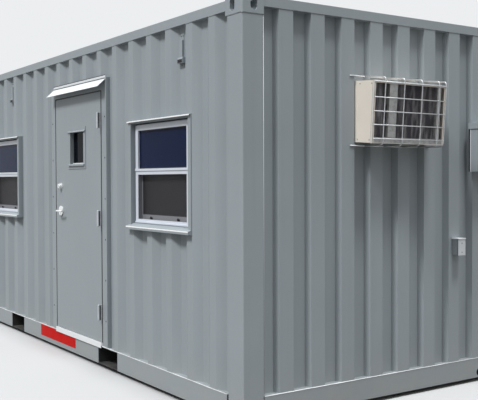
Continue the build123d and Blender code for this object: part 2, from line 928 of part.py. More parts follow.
# Window frames: a flange in front of a sunk track, a meeting rail and the inner sash below it
frame_floor = frame_front + track_depth
sash_front = frame_front + sash_setback
sash_back = sash_front + sash_depth
frame_top = window_top - surround_head
light_top = frame_top - track_head - window_member
light_bottom = sill_top + window_foot
sash_light_bottom = light_bottom + sash_foot
frame_edges = [(near + surround_face, far - surround_face) for near, far in window_edges]
flange_edges = [(near + track_side, far - track_side) for near, far in frame_edges]
light_edges = [(near + window_member, far - window_member) for near, far in flange_edges]
sash_light_edges = [(near + sash_stile, far - sash_stile) for near, far in light_edges]
with BuildPart() as window_frames:
    for frame_u, flange_u, light_u, sash_u in zip(frame_edges, flange_edges, light_edges, sash_light_edges):
        wall_block(frame_u, (frame_floor, side_inner), (sill_top, frame_top))
        wall_block(flange_u, (frame_front, frame_floor), (sill_top, frame_top - track_head))
        wall_block(light_u, (frame_front, side_inner), (light_bottom, light_top), Mode.SUBTRACT)
        wall_block(light_u, (sash_front, sash_back), (light_bottom, meeting_rail_bottom))
        wall_block(sash_u, (sash_front, sash_back), (sash_light_bottom, meeting_rail_bottom), Mode.SUBTRACT)
        wall_block(light_u, (frame_front, sash_back), (meeting_rail_bottom, meeting_rail_top))
save(window_frames, "window_frames")

upper_pane = frame_front + upper_pane_depth
sash_pane = sash_front + sash_pane_depth
with BuildPart() as window_glass_panes:
    for light_u, sash_u in zip(light_edges, sash_light_edges):
        wall_block(light_u, (upper_pane, upper_pane + window_glass), (meeting_rail_top, light_top))
        wall_block(sash_u, (sash_pane, sash_pane + window_glass), (sash_light_bottom, meeting_rail_bottom))
save(window_glass_panes, "window_glass_panes")

with BuildPart() as window_screens:
    for sash_u in sash_light_edges:
        wall_block(sash_u, (sash_front, sash_front + screen_sheet), (sash_light_bottom, meeting_rail_bottom))
save(window_screens, "window_screens")

# Air conditioner: a sheet case through the wall, open to the outside, with its coil set back
coil_edges = (cooler_side + cooler_sheet, cooler_side + cooler_width - cooler_sheet)
bezel_edges = (cooler_side + cooler_bezel, cooler_side + cooler_width - cooler_bezel)
with BuildPart() as cooler_case:
    wall_block((case_front, case_back), cooler_edges, (cooler_bottom, cooler_top))
    wall_block((case_front + cooler_sheet, case_back - cooler_sheet), coil_edges,
               (cooler_bottom + cooler_sheet, cooler_top - cooler_sheet), Mode.SUBTRACT)
    wall_block((case_front, case_front + cooler_sheet), bezel_edges,
               (cooler_bottom + cooler_bezel, cooler_top - cooler_bezel), Mode.SUBTRACT)
write(tilted(cooler_case.part), "cooler_case")

coil_front = case_front + coil_recess
fin_count = int((cooler_width - 2 * cooler_sheet) // fin_pitch) - 1
with BuildPart() as cooler_coil:
    wall_block((coil_front, coil_front + coil_depth), coil_edges,
               (cooler_bottom + cooler_sheet + pan_height, cooler_top - cooler_sheet))
    with BuildSketch(Plane.YZ.offset(along(coil_front))):
        with Locations((across(sum(coil_edges) / 2), (cooler_bottom + pan_height + cooler_top) / 2)):
            with GridLocations(fin_pitch, 1, fin_count, 1):
                Rectangle(fin_groove, cooler_top - cooler_bottom)
    extrude(amount=-fin_groove_depth, mode=Mode.SUBTRACT)
write(tilted(cooler_coil.part), "cooler_coil")

pan_front = case_front + cooler_sheet
pan_top = cooler_bottom + cooler_sheet + pan_height
with BuildPart() as cooler_pan:
    wall_block((pan_front, coil_front + coil_depth), coil_edges, (cooler_bottom + cooler_sheet, pan_top))
    for from_side, column_width in columns:
        column_side = cooler_side + from_side
        wall_block((pan_front, coil_front), (column_side, column_side + column_width),
                   (pan_top, cooler_top - cooler_sheet))
write(tilted(cooler_pan.part), "cooler_pan")

# Guard cage: bent rods over, down and back under the unit, with rows across its leaning front
guard_slope = guard_lean / (guard_front_top - guard_bottom)
guard_front = -(guard_reach - guard_rod / 2 + guard_slope * guard_bend)
guard_wall_rod = ridge_inset - guard_rod / 2


def guard_loop(u):
    """A bent rod at that distance from the door side."""
    path_points = [
        (along(guard_wall_rod), across(u), guard_wall_top),
        (along(guard_front), across(u), guard_front_top),
        (along(guard_front + guard_lean), across(u), guard_bottom),
        (along(guard_wall_rod), across(u), guard_bottom),
    ]
    with BuildLine() as path:
        FilletPolyline(*path_points, radius=guard_bend)
    with BuildSketch(Plane(origin=path.line @ 0, z_dir=path.line % 0)) as section:
        RegularPolygon(guard_rod / 2, guard_rod_sides)
    sweep(section.sketch, path=path.line)


with BuildPart() as cooler_guard:
    for offset_u in (*guard_rod_offsets, guard_width):
        guard_loop(guard_side + offset_u)
    for row in guard_rows:
        with BuildSketch(Plane.XZ.offset(-across(guard_side))):
            with Locations((along(guard_front + guard_slope * (guard_front_top - row)), row)):
                RegularPolygon(guard_rod / 2, guard_rod_sides)
        extrude(amount=-guard_width)
    for row in (guard_bottom, guard_wall_top):
        with BuildSketch(Plane.XZ.offset(-across(guard_side - guard_overhang))):
            with Locations((along(guard_wall_rod), row)):
                RegularPolygon(guard_rod / 2, guard_rod_sides)
        extrude(amount=-guard_width - 2 * guard_overhang)
save(cooler_guard, "cooler_guard")

# Junction box and electrical panel box on the ridges of the near end
with BuildPart() as junction_box:
    wall_block((ridge_inset - junction_depth, ridge_inset), (junction_side, junction_side + junction_width),
               (junction_bottom, junction_bottom + junction_height))
    fillet(junction_box.edges().filter_by(Axis.X), junction_round)
save(junction_box, "junction_box")

panel_top = panel_bottom + panel_height
panel_side = width - panel_from_back - panel_width
with BuildPart() as electrical_panel_box:
    wall_block((ridge_inset - panel_depth, ridge_inset), (panel_side, panel_side + panel_width),
               (panel_bottom, panel_top - panel_hood))
    wall_block((ridge_inset - panel_depth - panel_hood_lip, ridge_inset),
               (panel_side - panel_hood_lip, panel_side + panel_width + panel_hood_lip),
               (panel_top - panel_hood, panel_top))
save(electrical_panel_box, "electrical_panel_box")

# Ventilators on the recess floors of both side walls: a duct cover with a flared, open mouth
vent_back = ridge_inset + side_depth
vent_top = side_rail_bottom - vent_drop
vent_bottom = vent_top - vent_height
mouth_bottom = vent_bottom - vent_mouth_height
vent_outline = [
    (vent_back, vent_top + vent_top_tab),
    (vent_back - vent_tab_sheet, vent_top + vent_top_tab),
    (vent_back - vent_tab_sheet, vent_top),
    (vent_back - vent_depth, vent_top - vent_shoulder),
    (vent_back - vent_depth, vent_bottom),
    (vent_back - vent_tab_sheet, vent_bottom),
    (vent_back - vent_tab_sheet, mouth_bottom - vent_foot_tab),
    (vent_back, mouth_bottom - vent_foot_tab),
]
mouth_outline = [
    (vent_back, vent_bottom + vent_shoulder),
    (vent_back - vent_depth, vent_bottom + vent_shoulder),
    (vent_back - vent_mouth_depth, vent_bottom - vent_shoulder),
    (vent_back - vent_mouth_depth, mouth_bottom),
    (vent_back, mouth_bottom),
]
with BuildPart() as wall_ventilators:
    for recess in vent_recesses:
        middle = side_first_ridge + (side_ridge + side_pitch) / 2 + recess * side_pitch
        bar_along(vent_outline, (middle - vent_width / 2, middle + vent_width / 2))
        bar_along(mouth_outline, (middle - vent_mouth_width / 2, middle + vent_mouth_width / 2))
        mouth_reach = vent_mouth_width / 2 - vent_mouth_wall
        wall_block((middle - mouth_reach, middle + mouth_reach),
                   (vent_back - vent_mouth_depth + vent_mouth_wall, vent_back - vent_tab_sheet),
                   (mouth_bottom, mouth_bottom + vent_mouth_opening), Mode.SUBTRACT)
    mirror(about=mid_width)
save(wall_ventilators, "wall_ventilators")

# Plain red plate on the bottom rail under the door
with BuildPart() as rail_plate_red:
    wall_block((plate_near, plate_near + plate_width), (frame_inset - plate_thickness, frame_inset),
               (plate_bottom, plate_bottom + plate_height))
save(rail_plate_red, "rail_plate_red")
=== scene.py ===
import json
import math

import bmesh
import bpy
from mathutils import Matrix, Vector


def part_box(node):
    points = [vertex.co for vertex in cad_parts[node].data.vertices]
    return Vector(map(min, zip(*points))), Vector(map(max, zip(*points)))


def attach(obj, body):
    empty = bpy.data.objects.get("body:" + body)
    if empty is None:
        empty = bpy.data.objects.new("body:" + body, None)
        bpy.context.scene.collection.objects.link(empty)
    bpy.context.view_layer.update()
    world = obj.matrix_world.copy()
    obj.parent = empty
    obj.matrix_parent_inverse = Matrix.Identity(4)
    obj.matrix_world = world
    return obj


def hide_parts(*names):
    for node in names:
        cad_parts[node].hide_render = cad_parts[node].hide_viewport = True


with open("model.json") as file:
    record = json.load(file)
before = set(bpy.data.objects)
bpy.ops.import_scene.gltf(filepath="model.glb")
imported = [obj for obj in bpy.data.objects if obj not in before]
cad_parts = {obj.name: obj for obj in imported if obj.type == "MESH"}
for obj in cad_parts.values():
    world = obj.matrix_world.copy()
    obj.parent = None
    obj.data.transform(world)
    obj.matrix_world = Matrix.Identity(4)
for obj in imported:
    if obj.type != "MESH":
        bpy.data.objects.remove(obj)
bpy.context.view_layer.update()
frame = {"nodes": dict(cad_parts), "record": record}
nodes = frame["nodes"]
MM = 0.001
DOORWARD, BACKWARD, ENDWARD = Vector((0, -1, 0)), Vector((0, 1, 0)), Vector((1, 0, 0))
UP, DOWN = Vector((0, 0, 1)), Vector((0, 0, -1))

# The container's faces, taken from its castings, and its size in mm
casting_low, casting_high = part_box("bottom_corner_castings")
near_x, far_x = casting_high.x, casting_low.x
door_y, back_y = casting_low.y, casting_high.y
length, width = (near_x - far_x) / MM, (back_y - door_y) / MM


def at(u, v, z):
    """A place on the door side, in mm: from the near end, behind the side's face, above the ground."""
    return Vector((near_x - u * MM, door_y + v * MM, z * MM))


def corner_at(from_far, from_back):
    """The same for any of the four corners: u may count from the far end, and v from the back."""
    return lambda u, v, z: at(length - u if from_far else u, width - v if from_back else v, z)


def end_at(side, out, z):
    """A place on the near end, in mm: from the door side, in front of the end's face, above the ground."""
    return Vector((near_x + out * MM, door_y + side * MM, z * MM))


cooler_tilt, cooler_middle = math.radians(4), 1924


def cooler_at(side, out, z):
    """The same for the air conditioner, which leans with its front down about its middle height."""
    rise = z - cooler_middle
    return end_at(side, out * math.cos(cooler_tilt) + rise * math.sin(cooler_tilt),
                  cooler_middle - out * math.sin(cooler_tilt) + rise * math.cos(cooler_tilt))


def feed(tree, socket, value):
    """Link an output to an input, or set the input to a constant."""
    if isinstance(value, bpy.types.NodeSocket):
        tree.links.new(value, socket)
    else:
        socket.default_value = value


def add_node(tree, kind, inputs=None, **attributes):
    """A new node of a material or of the sky, with its inputs linked or set."""
    node = tree.nodes.new(kind)
    for key, value in attributes.items():
        setattr(node, key, value)
    for key, value in (inputs or {}).items():
        feed(tree, node.inputs[key], value)
    return node


class Graph:
    """A material's node tree, built with short calls."""

    def __init__(self, name):
        self.material = bpy.data.materials.new(name)
        self.material.use_nodes = True
        self.tree = self.material.node_tree
        self.shader = self.tree.nodes["Principled BSDF"]
        self.coords = self.add("ShaderNodeTexCoord").outputs["Object"]

    def add(self, kind, inputs=None, **attributes):
        return add_node(self.tree, kind, inputs, **attributes)

    def noise(self, scale, detail=3.0, stretch=(1, 1, 1)):
        place = self.add("ShaderNodeMapping", {"Vector": self.coords, "Scale": stretch})
        inputs = {"Vector": place.outputs[0], "Scale": scale, "Detail": detail}
        return self.add("ShaderNodeTexNoise", inputs).outputs[0]

    def between(self, value, low, high, start=0.3, end=0.7):
        """Low to high where the value goes from start to end."""
        inputs = {"Value": value, "From Min": start, "From Max": end, "To Min": low, "To Max": high}
        return self.add("ShaderNodeMapRange", inputs).outputs[0]

    def mix(self, factor, first, second):
        node = self.add("ShaderNodeMix", data_type="RGBA")
        for index, value in ((0, factor), (6, first), (7, second)):
            feed(self.tree, node.inputs[index], value)
        return node.outputs[2]

    def height(self):
        return self.add("ShaderNodeSeparateXYZ", {"Vector": self.coords}).outputs[2]

    def times(self, first, second):
        return self.add("ShaderNodeMath", {0: first, 1: second}, operation="MULTIPLY").outputs[0]

    def bump(self, value, distance, strength=1.0, normal=None):
        inputs = {"Height": value, "Distance": distance, "Strength": strength}
        if normal is not None:
            inputs["Normal"] = normal
        return self.add("ShaderNodeBump", inputs).outputs[0]

    def rounded(self, radius):
        """A normal that rounds every edge off, for looks only."""
        return self.add("ShaderNodeBevel", {"Radius": radius}, samples=4).outputs[0]

    def finish(self, **sockets):
        for key, value in sockets.items():
            feed(self.tree, self.shader.inputs[key.replace("_", " ")], value)
        return self.material


def rgb(red, green, blue):
    """A colour written as on screen, as the linear values that a shader takes."""
    def linear(c):
        c /= 255
        return c / 12.92 if c <= 0.04045 else ((c + 0.055) / 1.055) ** 2.4
    return (linear(red), linear(green), linear(blue), 1.0)


def shade(colour, share):
    """A colour made darker or lighter by a share."""
    return tuple(min(1, c * share) for c in colour[:3]) + (1,)


def paint(name, colour, rough=0.5, variation=0.04, grime=0.4, edge=2.5 * MM, peel=0.25 * MM, sheen=0.3):
    """Sprayed paint: mottled, streaked by rain, dusty near the ground, with orange peel."""
    g = Graph(name)
    cloudy = g.noise(1.6, detail=5.0)
    streaks = g.noise(1.0, detail=4.0, stretch=(16, 16, 0.6))
    base = g.mix(g.between(cloudy, 0, 1), shade(colour, 1 - variation), shade(colour, 1 + variation))
    base = g.mix(g.between(streaks, 0, 0.2, start=0.55, end=0.75), base, shade(colour, 0.84))
    low = g.between(g.height(), grime, 0, start=0.02, end=0.34)
    dusty = g.times(low, g.between(g.noise(9, detail=6.0), 0.1, 1))
    base = g.mix(dusty, base, rgb(158, 153, 142))
    normal = g.bump(g.noise(3.2, detail=2.0), 2.2 * MM, 0.5, g.rounded(edge))
    normal = g.bump(g.noise(420, detail=2.0), peel, 0.5, normal)
    return g.finish(Base_Color=base, Roughness=g.between(cloudy, rough - 0.06, rough + 0.06),
                    Specular_IOR_Level=sheen, Normal=normal)


def metal(name, colour, rough=0.35, grain=(1, 1, 40), edge=0.8 * MM, tarnish=0.12, bare=1.0):
    """Bare or coated metal with a drawn grain and slight tarnish."""
    g = Graph(name)
    spots = g.noise(38, detail=5.0)
    lines = g.noise(30, stretch=grain)
    base = g.mix(g.between(spots, 0, tarnish * 3, start=0.45, end=0.8), colour, shade(colour, 0.55))
    normal = g.bump(lines, 0.12 * MM, 0.4, g.rounded(edge))
    return g.finish(Base_Color=base, Metallic=bare, Normal=normal,
                    Roughness=g.between(lines, rough - 0.08, rough + 0.1))


def coil_face(name):
    """Bent and dusty fins: dark gaps with paler smears down the coil."""
    g = Graph(name)
    smears = g.noise(1.0, detail=4.0, stretch=(1, 26, 5))
    specks = g.noise(90)
    base = g.mix(g.between(smears, 0, 1, start=0.45, end=0.68), rgb(92, 90, 97), rgb(184, 181, 184))
    base = g.mix(g.between(specks, 0, 0.4, start=0.5, end=0.8), base, rgb(46, 45, 49))
    return g.finish(Base_Color=base, Metallic=0.2, Roughness=g.between(smears, 0.5, 0.65),
                    Normal=g.bump(specks, 0.4 * MM, 0.5))


def coated(name, colour, rough=0.4, variation=0.06, edge=1.2 * MM, fine=160):
    """Enamel, moulded plastic or faced board: slight mottling and a fine surface."""
    g = Graph(name)
    spots = g.noise(7, detail=5.0)
    base = g.mix(g.between(spots, 0, 1), shade(colour, 1 - variation), colour)
    normal = g.bump(g.noise(fine, detail=2.0), 0.15 * MM, 0.4, g.rounded(edge))
    return g.finish(Base_Color=base, Roughness=g.between(spots, rough - 0.05, rough + 0.07), Normal=normal)


def plywood(name):
    """Rotary-cut face veneer under worn oil, in sheets laid across the floor."""
    g = Graph(name)
    grain = g.noise(5, detail=8.0, stretch=(1.5, 14, 1))
    sheets = g.add("ShaderNodeTexBrick", {"Vector": g.coords, "Scale": 1.0, "Mortar Size": 1.2 * MM,
                                          "Brick Width": 1.16, "Row Height": 2.44}, offset=0.0)
    base = g.mix(g.between(grain, 0, 1), rgb(128, 88, 52), rgb(176, 132, 84))
    base = g.mix(sheets.outputs[1], base, rgb(60, 42, 28))
    return g.finish(Base_Color=base, Roughness=g.between(grain, 0.45, 0.7),
                    Normal=g.bump(grain, 0.5 * MM, 0.4))


def glass(name, colour, reflected):
    """Float glass, faintly uneven, with a thin film of dust."""
    g = Graph(name)
    film = g.noise(14, detail=5.0)
    return g.finish(Base_Color=colour, Transmission_Weight=0.8, IOR=1.12, Specular_Tint=reflected,
                    Roughness=g.between(film, 0.0, 0.05),
                    Normal=g.bump(g.noise(4, detail=1.0), 0.4 * MM, 0.2))


def mesh_cloth(name):
    """Insect screen: a dark weave, too fine for its holes to be modelled."""
    g = Graph(name)
    weave = [g.add("ShaderNodeTexWave", {"Vector": g.coords, "Scale": 110.0}, bands_direction=d).outputs[1]
             for d in ("X", "Z")]
    threads = g.add("ShaderNodeMath", {0: weave[0], 1: weave[1]}, operation="MAXIMUM").outputs[0]
    base = g.mix(threads, rgb(18, 18, 21), rgb(46, 45, 48))
    return g.finish(Base_Color=base, Specular_IOR_Level=0.2, Roughness=g.between(threads, 0.7, 0.5),
                    Alpha=g.between(threads, 0.72, 0.95), Normal=g.bump(threads, 0.2 * MM, 0.5))


# The finish of each slot in the record
finishes = {
    "grey_paint": paint("paint_grey", rgb(142, 150, 155)),
    "plywood": plywood("floor_plywood"),
    "lining_board": coated("board_white", rgb(214, 212, 204), rough=0.55),
    "mill_aluminium": metal("aluminium_mill", rgb(216, 220, 223), 0.4, (1, 40, 1), tarnish=0.06, bare=0.25),
    "window_white": coated("window_coating", rgb(206, 212, 222), rough=0.35),
    "clear_glass": glass("glass_clear", rgb(50, 70, 118), reflected=rgb(80, 118, 205)),
    "insect_mesh": mesh_cloth("screen_mesh"),
    "satin_steel": metal("steel_satin", rgb(236, 238, 238), 0.3, bare=0.4),
    "hinge_steel": metal("steel_hinge", rgb(186, 191, 196), 0.45, bare=0.1),
    "cooler_beige": coated("enamel_beige", rgb(220, 212, 201), rough=0.42, variation=0.04),
    "coil_fins": coil_face("fins_dusty"),
    "zinc_sheet": metal("zinc_sheet", rgb(158, 158, 158), 0.5, (1, 1, 1), tarnish=0.3, bare=0.5),
    "zinc_rod": metal("zinc_rod", rgb(184, 186, 188), 0.4, (8, 8, 8), tarnish=0.2, bare=0.5),
    "box_grey": coated("box_plastic", rgb(148, 156, 161), rough=0.45),
    "red_paint": paint("paint_red", rgb(190, 12, 8), 0.6, grime=0.05, peel=0.1 * MM, sheen=0.08),
}

# Finishes of smaller pieces, and of solids that differ from the rest of their slot
# Black for rubber parts and dark joints, and also painted shade: strips put in the gaps round the door and
# hinges, in the window tracks, behind the air conditioner's flange and behind the panel box
black_rubber_and_shade = coated("black_rubber_and_shade", rgb(26, 26, 28), rough=0.7)
# Dark steel for screws, and also a painted shadow line under the drip cap
dark_steel_and_shade = metal("dark_steel_and_shade", rgb(70, 72, 75), 0.45, bare=0.6)
# Near-white trim for the threshold apron, rivets and glass beads, and also painted highlights on the
# junction box's lid and the panel box's rim
bright_trim_and_highlight = coated("trim_bright_and_painted_highlight", rgb(226, 229, 232), rough=0.35)
zinc_trim = coated("trim_zinc", rgb(206, 204, 200))
# Pale grey: painted highlights down the posts, and painted light on the junction box's front cover
pale_cover_and_highlight = coated("pale_painted_light", rgb(196, 201, 205))
# Near white: painted highlights on the window surrounds' drip and sill edges and on top of the air
# conditioner
near_white_highlight = coated("painted_highlight_near_white", rgb(250, 250, 250), rough=0.35, variation=0.02)
# Pale and speckled: painted highlights along the tops of the rails and sills
rail_highlight_paint = coated("painted_highlight_pale", rgb(222, 225, 227), rough=0.6, variation=0.35, fine=60)
# Grey: painted shade on the windows' recessed screen frames, reveals and sills
screen_shade_grey = coated("screen_frame_painted_shade_grey", rgb(112, 113, 118), rough=0.45)
# Dark paint: painted shade inside the forklift pockets and on the cross members
pocket_shade_grey = paint("paint_pocket_painted_shade", rgb(46, 49, 50), 0.7, variation=0.1, grime=0.12, sheen=0.1)
door_pane = glass("glass_door", rgb(30, 40, 52), reflected=rgb(60, 74, 92))
own_finish = {"forklift_pocket_sides": pocket_shade_grey, "forklift_pocket_plates": pocket_shade_grey,
              "cross_members": pocket_shade_grey, "door_vision_glass": door_pane}
slot_of = {part["node"]: part["material_slot"] for part in frame["record"]["subparts"]}
for node_name, node in nodes.items():
    node.data.materials.clear()
    node.data.materials.append(own_finish.get(node_name, finishes[slot_of[node_name]]))


def add_block(bm, place, firsts, seconds, thirds):
    """A closed block between pairs of distances, which at or a function like it turns into places."""
    corners = [bm.verts.new(place(a, b, c)) for a in firsts for b in seconds for c in thirds]
    for face in ((0, 1, 3, 2), (4, 6, 7, 5), (0, 4, 5, 1), (2, 3, 7, 6), (0, 2, 6, 4), (1, 5, 7, 3)):
        bm.faces.new([corners[i] for i in face])


def add_ring(bm, place, firsts, seconds, thirds, bar):
    """A frame of four bars inside a rectangle of firsts and thirds, with the depth of seconds."""
    left, right = firsts
    low, high = thirds
    add_block(bm, place, (left, right), seconds, (low, low + bar))
    add_block(bm, place, (left, right), seconds, (high - bar, high))
    add_block(bm, place, (left, left + bar), seconds, (low + bar, high - bar))
    add_block(bm, place, (right - bar, right), seconds, (low + bar, high - bar))


def add_circle(bm, centre, side, up, radius, sides):
    """The vertices of a circle in the plane of side and up."""
    turns = [2 * math.pi * i / sides for i in range(sides)]
    return [bm.verts.new(centre + radius * (side * math.cos(a) + up * math.sin(a))) for a in turns]


def add_skin(bm, circles):
    """Faces from each circle to the next, and one over each end."""
    for first, second in zip(circles, circles[1:]):
        for i in range(len(first)):
            after = (i + 1) % len(first)
            bm.faces.new((first[i], first[after], second[after], second[i]))
    bm.faces.new(circles[0][::-1])
    bm.faces.new(circles[-1])


def rounded_path(points, radius, steps=6):
    """The points of a line whose inner corners are arcs."""
    path = [points[0]]
    for before, corner, after in zip(points, points[1:], points[2:]):
        first, second = (before - corner).normalized(), (after - corner).normalized()
        half = first.angle(second) / 2
        centre = corner + (first + second).normalized() * radius / math.sin(half)
        start = corner + first * radius / math.tan(half) - centre
        end = corner + second * radius / math.tan(half) - centre
        path += [centre + start.lerp(end, k / steps).normalized() * radius for k in range(steps + 1)]
    return path + [points[-1]]


def add_tube(bm, points, radius, sides=6):
    """A closed round bar along a line of points, mitred at its corners."""
    circles = []
    for k, point in enumerate(points):
        before = (point - points[max(k - 1, 0)]).normalized()
        after = (points[min(k + 1, len(points) - 1)] - point).normalized()
        heading = (before + after).normalized()
        side = heading.cross(UP if abs(heading.z) < 0.9 else ENDWARD).normalized()
        circles.append(add_circle(bm, point, side, side.cross(heading), radius, sides))
    add_skin(bm, circles)


def add_head(bm, centre, outward, radius, rise, sides=12):
    """A low domed screw or rivet head that sits on a face."""
    side = outward.orthogonal().normalized()
    up = outward.cross(side)
    dome = ((1, -0.2), (1, 0.35), (0.7, 0.85), (0.25, 1))
    add_skin(bm, [add_circle(bm, centre + outward * lift * rise, side, up, radius * share, sides)
                  for share, lift in dome])


# Edges that turn by more than this, in radians, are bevelled
SHARP_ANGLE = 0.7


def make_piece(name, bm, slot, material=None, body="cabin", bevel=0.0, smooth=False):
    """Turn a bmesh into a piece that rides on a body. Its material is its slot's, unless one is given."""
    if bevel:
        sharp = [e for e in bm.edges if len(e.link_faces) == 2 and e.calc_face_angle(0) > SHARP_ANGLE]
        bmesh.ops.bevel(bm, geom=sharp, offset=bevel, segments=2, affect="EDGES", clamp_overlap=True)
    bmesh.ops.recalc_face_normals(bm, faces=bm.faces)
    mesh = bpy.data.meshes.new(name)
    bm.to_mesh(mesh)
    bm.free()
    for polygon in mesh.polygons:
        polygon.use_smooth = smooth
    mesh.materials.append(material or finishes[slot])
    piece = bpy.data.objects.new(name, mesh)
    bpy.context.scene.collection.objects.link(piece)
    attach(piece, body)
    return piece


# Weld beads where each wall sheet meets the rail or sill below it and the rail or header above it
def sheet_line(node_name, axis, outward, top):
    """The outer line of a wall sheet along its lower or upper edge, from one end to the other."""
    vertices = [v.co for v in nodes[node_name].data.vertices]
    edge_z = max(v.z for v in vertices) if top else min(v.z for v in vertices)
    other = 1 - axis
    line = {}
    for v in vertices:
        if abs(v.z - edge_z) < 1 * MM:
            key = round(v[axis], 4)
            if key not in line or v[other] * outward > line[key][other] * outward:
                line[key] = v
    return [Vector(line[key]) for key in sorted(line)]


# Each sheet with the axis that it runs along and the way that it faces
sheets = (("front_wall_right", 0, -1), ("front_wall_left", 0, -1), ("back_wall", 0, 1),
          ("near_end_wall", 1, 1), ("far_end_wall", 1, -1))
welds = bmesh.new()
for sheet_name, axis, outward in sheets:
    for top in (False, True):
        add_tube(welds, sheet_line(sheet_name, axis, outward, top), 3.5 * MM)
make_piece("wall_weld_beads", welds, "grey_paint", smooth=True)

# Weld beads round the posts at the castings, on their two outer faces
corner_places = [corner_at(from_far, from_back) for from_far in (False, True) for from_back in (False, True)]
post_side, post_end, post_inset = 160, 155, 3
post_line = ((post_side, post_inset), (post_inset, post_inset), (post_inset, post_end))
casting_joints = (118 + 2, 2473 - 2)
post_welds = bmesh.new()
for place in corner_places:
    for z in casting_joints:
        add_tube(post_welds, [place(u, v, z) for u, v in post_line], 2.5 * MM)
make_piece("post_weld_beads", post_welds, "grey_paint", smooth=True)

# Windows: a track sunk into each surround, a fixed pane at the top, a screen over the lower sash.
# Insets are in from both edges of the surround, and spans are heights.
window_nears, window_width = (588, 3844), 896
track_inset, lip_inset, opening_inset, cloth_inset = 38, 62, 100, 112
track_span, pane_span, screen_span, cloth_span = (1172, 1893), (1566, 1843), (1202, 1524), (1235, 1524)
track_depth, pane_depth, screen_front, screen_back = (48, 50), (38.5, 41), 59, 62
reveal, reveal_front, sill_front, sill_heights = 1, 28, 34, (1201.5, 1203)
# Depths and heights of the lips on the meeting rail and sill, and of the near-white strips on the surround's
# drip and sill edges, which are painted highlights
window_lips = (((21, 26), (1550, 1566)), ((20, 26), (1176, 1186)))
highlight_strips = (((-15, -13.5), (1903.5, 1911)), ((-27, -25), (1141, 1149)))
# Half width, depths and heights of a catch's body and of its tongue
catch_offsets, catch_parts = (263, 650), ((13, (54, 62), (1200, 1216)), (5, (47, 54), (1204, 1222)))
screw_inset, screw_v, screw_heights = 17, -2, (1200, 1410, 1650, 1860)


def across(near, inset):
    """From one side of a window to the other."""
    return near + inset, near + window_width - inset


track_shade, gaskets, lips, surround_highlights, screen_and_reveal_shade, catches, surround_screws = (
    bmesh.new() for _ in range(7))
for near in window_nears:
    add_ring(track_shade, at, across(near, track_inset), track_depth, track_span, bar=5)
    add_ring(gaskets, at, across(near, opening_inset), pane_depth, pane_span, bar=6)
    add_ring(gaskets, at, across(near, cloth_inset), (screen_front + 1, screen_back), cloth_span, bar=5)
    for depths, heights in window_lips:
        add_block(lips, at, across(near, lip_inset), depths, heights)
    for depths, heights in highlight_strips:
        add_block(surround_highlights, at, across(near, 0), depths, heights)
    # The screen's frame on three sides, and liners on the reveals and sill that it stands in, all in grey as
    # painted shade
    left, right = across(near, opening_inset)
    cloth_left, cloth_right = across(near, cloth_inset)
    for u_pair in ((left, cloth_left), (cloth_right, right)):
        add_block(screen_and_reveal_shade, at, u_pair, (screen_front, screen_back), screen_span)
    add_block(screen_and_reveal_shade, at, (cloth_left, cloth_right), (screen_front, screen_back),
              (screen_span[0], cloth_span[0]))
    for u_pair in ((right - reveal, right), (left, left + reveal)):
        add_block(screen_and_reveal_shade, at, u_pair, (reveal_front, screen_front), screen_span)
    add_block(screen_and_reveal_shade, at, (left + reveal, right - reveal), (sill_front, screen_front), sill_heights)
    for u in (near + offset for offset in catch_offsets):
        for half, depths, heights in catch_parts:
            add_block(catches, at, (u - half, u + half), depths, heights)
    for z in screw_heights:
        for u in across(near, screw_inset):
            add_head(surround_screws, at(u, screw_v, z), DOORWARD, 3.5 * MM, 1.6 * MM)
# Near-white strips on the surround's drip and sill edges: painted highlights
make_piece("window_surround_highlights", surround_highlights, "grey_paint", near_white_highlight, bevel=0.5 * MM)
# The screen frames and the liners on the reveals and sill, in grey as painted shade
make_piece("window_screen_and_reveal_shade", screen_and_reveal_shade, "hinge_steel", screen_shade_grey, bevel=0.5 * MM)
# Black strips on the floor of each track: painted shade in the groove round the window frame
make_piece("window_track_shade", track_shade, "insect_mesh", black_rubber_and_shade)
make_piece("window_gaskets", gaskets, "insect_mesh", black_rubber_and_shade)
make_piece("window_meeting_lips", lips, "window_white", bevel=1.5 * MM)
make_piece("window_catches", catches, "insect_mesh", black_rubber_and_shade, bevel=1.5 * MM)
make_piece("window_surround_screws", surround_screws, "grey_paint", smooth=True)

# Doorway: a seal on the stops; black strips on the far jamb and the head, a black line round the frame and a
# black strip on the leaf's hinge edge, all painted shade in the gaps round the leaf
frame_near, frame_far, frame_high = 1976, 2909, 2187
leaf_near, leaf_far, leaf_low, leaf_high = 1979, 2900, 207, 2182
leaf_front, leaf_back = 6, 51
seal_inset, seal_width, seal_depth = 1, 12, (53, 56)
strip, strip_depth = 2, (9, 50)
line_near, line_gap, line_depth = 1973.8, 0.2, (5, 6.5)
line_outer_near, line_outer_far, line_outer_high = 1962, 2914, 2191
seal = bmesh.new()
for u in (leaf_near + seal_inset, leaf_far - seal_inset - seal_width):
    add_block(seal, at, (u, u + seal_width), seal_depth, (leaf_low, leaf_high - seal_width))
add_block(seal, at, (leaf_near + seal_inset, leaf_far - seal_inset), seal_depth,
          (leaf_high - seal_width, leaf_high))
add_block(seal, at, (frame_far - strip, frame_far), strip_depth, (leaf_low, frame_high - strip))
add_block(seal, at, (frame_near, frame_far - strip), strip_depth, (frame_high - strip, frame_high))
make_piece("door_stop_seal_and_gap_shade", seal, "insect_mesh", black_rubber_and_shade, bevel=0.5 * MM)
frame_shadow_line = bmesh.new()
for u_pair in ((line_outer_near, line_near), (frame_far + line_gap, line_outer_far)):
    add_block(frame_shadow_line, at, u_pair, line_depth, (leaf_low - 4, frame_high))
add_block(frame_shadow_line, at, (line_near, frame_far + line_gap), line_depth,
          (frame_high + line_gap, line_outer_high))
make_piece("door_frame_painted_shadow", frame_shadow_line, "insect_mesh", black_rubber_and_shade)
